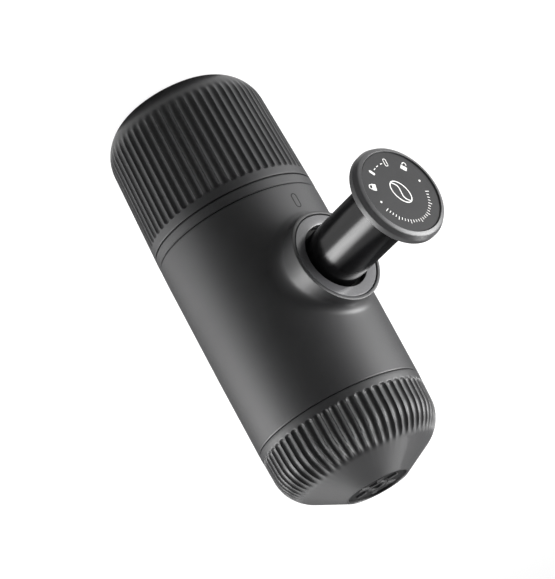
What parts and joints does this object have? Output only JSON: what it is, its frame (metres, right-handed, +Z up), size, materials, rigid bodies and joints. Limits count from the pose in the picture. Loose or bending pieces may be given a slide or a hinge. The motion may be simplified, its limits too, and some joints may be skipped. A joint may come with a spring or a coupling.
{
  "type": "handheld manual espresso maker",
  "caption": "Pocket hand pump espresso maker: ribbed cup and ribbed water tank on a satin cylindrical body, with a spring return piston that twists to lock.",
  "frame": {"origin": "centre of the drinking cup's flat base", "axes": "+Z up the long axis towards the water tank's tip, the piston points along -Y"},
  "size_m": [0.062, 0.1061, 0.156],
  "materials": {
    "shell_plastic": "satin",
    "collar_plastic": "satin",
    "sleeve_plastic": "gloss",
    "knob_plastic": "satin",
    "knob_print": "satin",
    "inner_plastic": "satin",
    "clear_plastic": "satin",
    "bush_plastic": "satin",
    "steel": "brushed",
    "spring_steel": "drawn",
    "screw_steel": "zinc plated",
    "silicone_red": "matt",
    "silicone_clear": "matt",
    "black_rubber": "matt"
  },
  "bodies": {
    "main_body": {"body_shell": "shell_plastic", "pump_housing": "inner_plastic", "guide_collar": "inner_plastic", "guide_bush": "bush_plastic", "piston_wiper": "black_rubber", "collar_ring": "collar_plastic", "pump_barrel": "steel", "barrel_seal": "black_rubber", "valve_block": "inner_plastic", "valve_block_screws": "screw_steel", "check_valve_balls": "steel", "check_valve_springs": "spring_steel", "feed_tube": "clear_plastic", "delivery_tube": "clear_plastic", "return_spring": "spring_steel", "brew_head": "inner_plastic", "brew_head_screws": "screw_steel", "group_gasket": "silicone_red", "shower_screen": "steel", "screen_screw": "screw_steel", "tank_plate": "inner_plastic", "tank_plate_screws": "screw_steel", "inlet_strainer": "steel", "air_valve": "silicone_clear"},
    "plunger": {"plunger_rod": "steel", "plunger_seal": "black_rubber"},
    "piston": {"piston_sleeve": "sleeve_plastic", "rod_retainer": "inner_plastic", "piston_knob": "knob_plastic", "knob_plate": "knob_print", "knob_screw": "screw_steel"},
    "seal_ring": {"tank_gasket": "silicone_red"},
    "tank": {"water_tank": "shell_plastic"},
    "basket": {"filter_basket": "steel"},
    "head": {"outlet_head": "shell_plastic", "head_seal": "silicone_red", "crema_valve": "silicone_clear", "cup_seal": "silicone_red"},
    "nozzle_cap": {"nozzle_cap": "inner_plastic"},
    "cup": {"drinking_cup": "shell_plastic"}
  },
  "joints": [
    {"name": "piston_push", "type": "slide", "parent": "main_body", "child": "plunger", "axis": [0, 1, 0], "range_m": [0, 0.0348], "stiffness_N_per_m": 350, "springref_m": -0.02, "deforming": ["return_spring"]},
    {"name": "piston_lock", "type": "hinge", "parent": "plunger", "child": "piston", "pos_m": [0, 0, 0.0845], "axis": [0, 1, 0], "range_deg": [0, 42]},
    {"name": "tank_rise", "type": "slide", "parent": "main_body", "child": "seal_ring", "axis": [0, 0, 1], "range_m": [0, 0.0075]},
    {"name": "tank_unscrew", "type": "hinge", "parent": "seal_ring", "child": "tank", "pos_m": [0, 0, 0.13], "axis": [0, 0, 1], "range_deg": [0, 450]},
    {"name": "head_drop", "type": "slide", "parent": "main_body", "child": "basket", "axis": [0, 0, -1], "range_m": [0, 0.0075]},
    {"name": "head_unscrew", "type": "hinge", "parent": "basket", "child": "head", "pos_m": [0, 0, 0.05], "axis": [0, 0, -1], "range_deg": [0, 450]},
    {"name": "cup_pull", "type": "slide", "parent": "head", "child": "cup", "axis": [0, 0, -1], "range_m": [0, 0.05]},
    {"name": "cap_pull", "type": "slide", "parent": "head", "child": "nozzle_cap", "axis": [0, 0, -1], "range_m": [0, 0.0095]}
  ],
  "couplings": [
    {"joint": "tank_rise", "follows": "tank_unscrew", "m_per_rad": 0.00095},
    {"joint": "head_drop", "follows": "head_unscrew", "m_per_rad": 0.00095}
  ]
}
